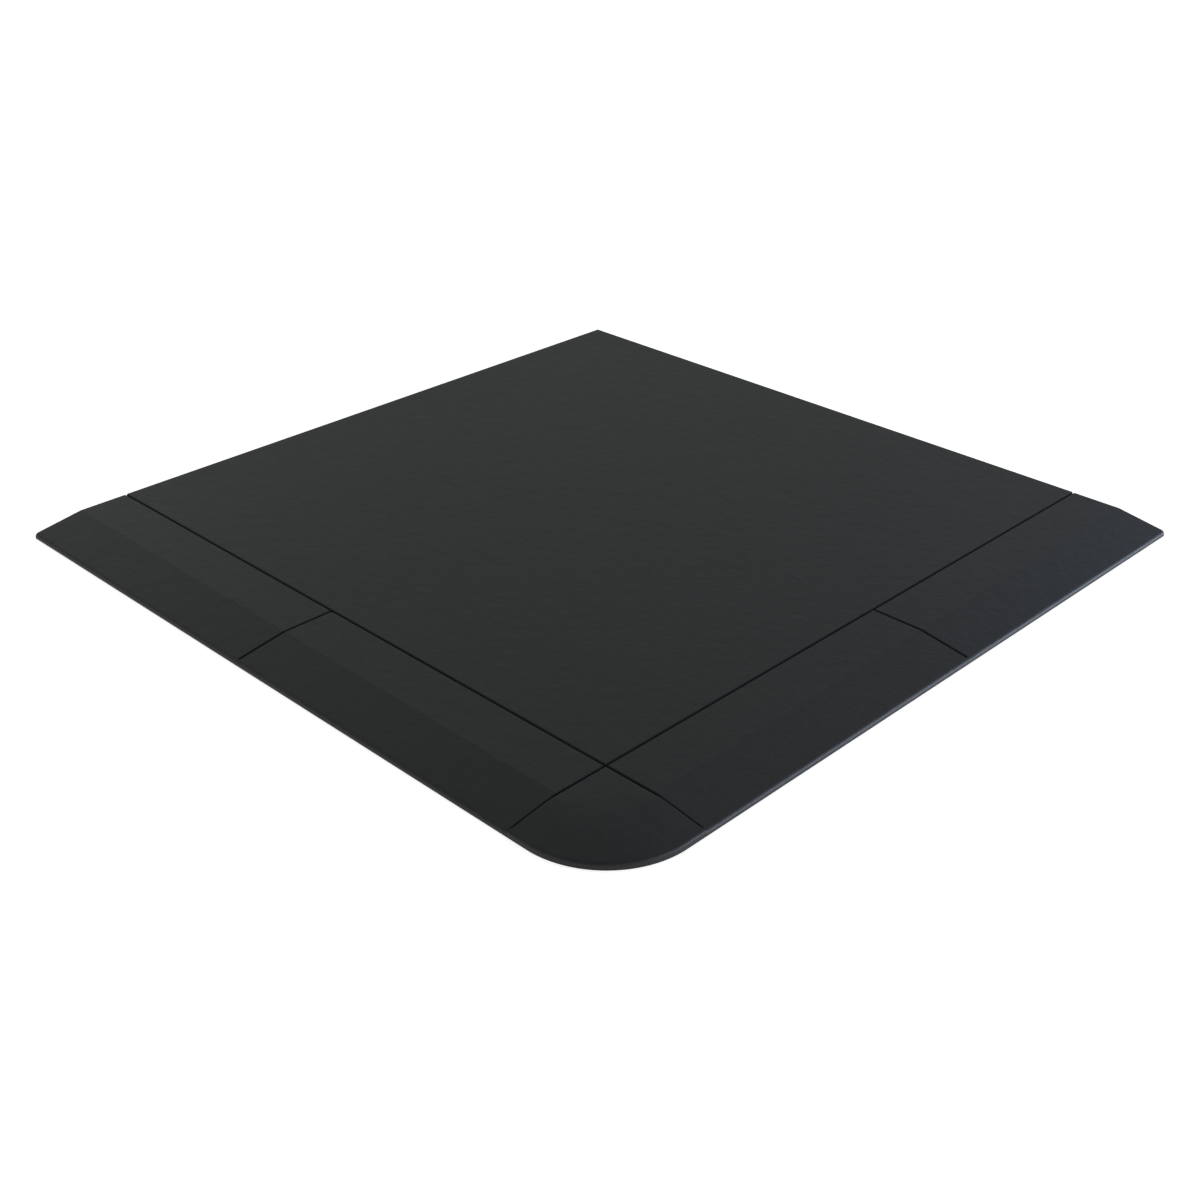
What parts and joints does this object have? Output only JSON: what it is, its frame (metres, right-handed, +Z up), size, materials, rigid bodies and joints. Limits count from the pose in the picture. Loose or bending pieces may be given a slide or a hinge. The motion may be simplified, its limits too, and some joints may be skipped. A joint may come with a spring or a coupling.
{
  "type": "anti fatigue mat",
  "caption": "Modular anti-fatigue standing mat: laminated square tile with sloped ramp strips on two sides and a rounded corner ramp, joined from below by bow-tie keys.",
  "frame": {"origin": "middle of the mat's bounding box, on the floor plane under the mat", "axes": "+Z up; the front is -Y and the right side is +X; ramps run along the front and the right side, and the rounded corner ramp is where they meet"},
  "size_m": [1.152, 1.152, 0.0185],
  "materials": {
    "wear_rubber": "matte",
    "ramp_rubber": "matte",
    "core_foam": "matte",
    "grip_rubber": "matte",
    "key_plastic": "matte"
  },
  "bodies": {
    "tile": {"tile_wear_layer": "wear_rubber", "tile_foam_core": "core_foam", "tile_grip_base": "grip_rubber", "front_tile_key_1": "key_plastic", "front_tile_key_2": "key_plastic", "front_tile_key_3": "key_plastic", "front_tile_key_4": "key_plastic", "side_tile_key_1": "key_plastic", "side_tile_key_2": "key_plastic", "side_tile_key_3": "key_plastic", "side_tile_key_4": "key_plastic", "front_ramp_key": "key_plastic", "side_ramp_key": "key_plastic", "front_corner_key": "key_plastic", "side_corner_key": "key_plastic"},
    "front_left_ramp": {"front_ramp_left": "ramp_rubber"},
    "front_right_ramp": {"front_ramp_right": "ramp_rubber"},
    "side_front_ramp": {"side_ramp_front": "ramp_rubber"},
    "side_rear_ramp": {"side_ramp_rear": "ramp_rubber"},
    "corner": {"corner_ramp": "ramp_rubber"}
  },
  "joints": [
    {"name": "front_ramp_left_lift", "type": "slide", "parent": "tile", "child": "front_left_ramp", "axis": [0, 0, 1], "range_m": [0, 0.03]},
    {"name": "front_ramp_right_lift", "type": "slide", "parent": "tile", "child": "front_right_ramp", "axis": [0, 0, 1], "range_m": [0, 0.03]},
    {"name": "side_ramp_front_lift", "type": "slide", "parent": "tile", "child": "side_front_ramp", "axis": [0, 0, 1], "range_m": [0, 0.03]},
    {"name": "side_ramp_rear_lift", "type": "slide", "parent": "tile", "child": "side_rear_ramp", "axis": [0, 0, 1], "range_m": [0, 0.03]},
    {"name": "corner_ramp_lift", "type": "slide", "parent": "tile", "child": "corner", "axis": [0, 0, 1], "range_m": [0, 0.03]}
  ]
}
